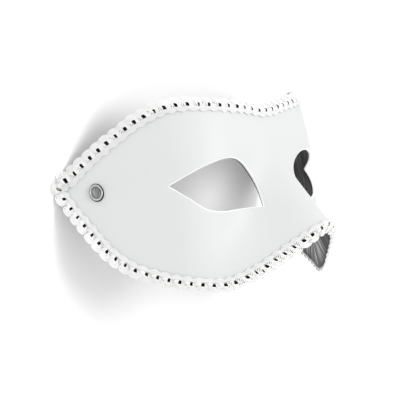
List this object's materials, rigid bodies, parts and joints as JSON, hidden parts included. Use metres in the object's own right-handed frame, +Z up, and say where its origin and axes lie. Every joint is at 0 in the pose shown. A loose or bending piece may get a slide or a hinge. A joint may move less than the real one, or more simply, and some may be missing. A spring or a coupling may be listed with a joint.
{
  "type": "leather half mask",
  "caption": "Moulded leather half mask for the eyes and nose, lined at the back, edged with scalloped gimp braid, with a cap rivet at each temple where a tie is fixed.",
  "frame": {"origin": "on the floor plane, below the middle of the mask's bounding box, under the bridge of the nose", "axes": "the mask lies face up on its two temple tips: +Z points up and out of the face, +Y to the forehead edge, +X to the wearer's left temple"},
  "size_m": [0.1664, 0.0892, 0.104],
  "materials": {
    "white_leather": "smooth white finished leather with a fine grain and a dull sheen",
    "dark_lining": "dark grey satin-weave lining, soft sheen",
    "white_braid": "white rayon gimp braid, matt with a slight thread sheen",
    "nickel": "nickel-plated, brushed middle and polished rolled rim"
  },
  "bodies": {
    "root": {"face_shell": "white_leather", "lining": "dark_lining", "braid_trim": "white_braid", "rivet_left": "nickel", "rivet_right": "nickel"}
  },
  "joints": []
}
